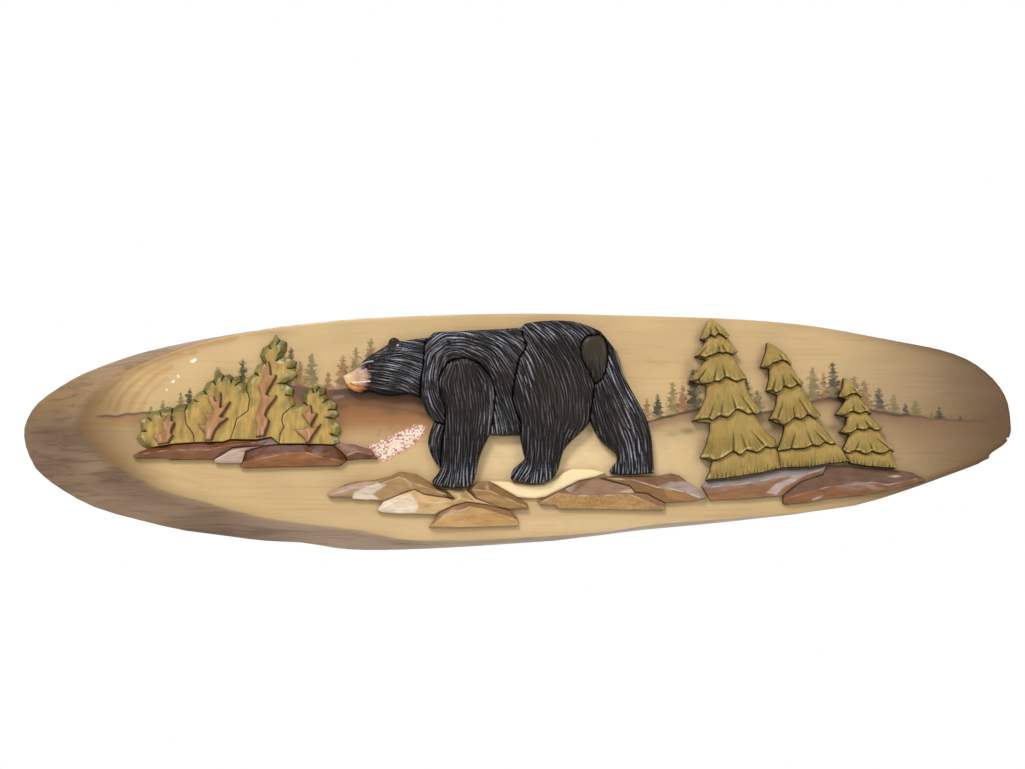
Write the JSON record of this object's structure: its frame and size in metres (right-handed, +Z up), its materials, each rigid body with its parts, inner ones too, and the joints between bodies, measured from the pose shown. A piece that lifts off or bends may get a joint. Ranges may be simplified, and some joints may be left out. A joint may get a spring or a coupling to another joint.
{
  "type": "carved wooden wall plaque",
  "caption": "Long oval wall plaque cut at a slant from a log, with a carved black bear, spruces, leafy bushes, rocks and a path glued on its face.",
  "frame": {"origin": "middle of the slab's flat back, level with the middle of the plaque's length, where it rests on the wall", "axes": "+X to the right along the length, +Y into the wall, +Z up; the carved face looks along -Y"},
  "size_m": [0.9992, 0.032, 0.2392],
  "materials": {
    "slab_wood": "glossy varnish over pale tan wood, browned at the ends",
    "bear_black": "black-brown paint, combed with grey strokes, glossy",
    "spruce_green": "olive stain, dark brown under the hems, satin",
    "bush_green": "yellow-green stain, glossy",
    "branch_brown": "brown stain, glossy",
    "rock_brown": "red-brown stain, glossy",
    "rock_tan": "tan stain with brown upper facets, glossy",
    "path_cream": "cream stain, glossy"
  },
  "bodies": {
    "root": {"slab": "slab_wood", "bear_head": "bear_black", "bear_forequarter": "bear_black", "bear_near_foreleg": "bear_black", "bear_far_foreleg": "bear_black", "bear_hindquarter": "bear_black", "bear_far_hind_leg": "bear_black", "bear_tail": "bear_black", "spruce_tall": "spruce_green", "spruce_middle": "spruce_green", "spruce_small": "spruce_green", "bush_1": "bush_green", "bush_2": "bush_green", "bush_3": "bush_green", "bush_4": "bush_green", "bush_branch_1": "branch_brown", "bush_branch_2": "branch_brown", "bush_branch_3": "branch_brown", "bush_branch_4": "branch_brown", "rock_left_long": "rock_brown", "rock_left_pale": "rock_tan", "rock_left_broad": "rock_brown", "rock_left_end": "rock_brown", "rock_middle_peak": "rock_tan", "rock_middle_pale": "rock_tan", "rock_middle_slope": "rock_tan", "rock_middle_small": "rock_tan", "rock_right_front": "rock_tan", "rock_right_rear": "rock_tan", "rock_far_tall": "rock_brown", "rock_far_low": "rock_brown", "path": "path_cream"}
  },
  "joints": []
}
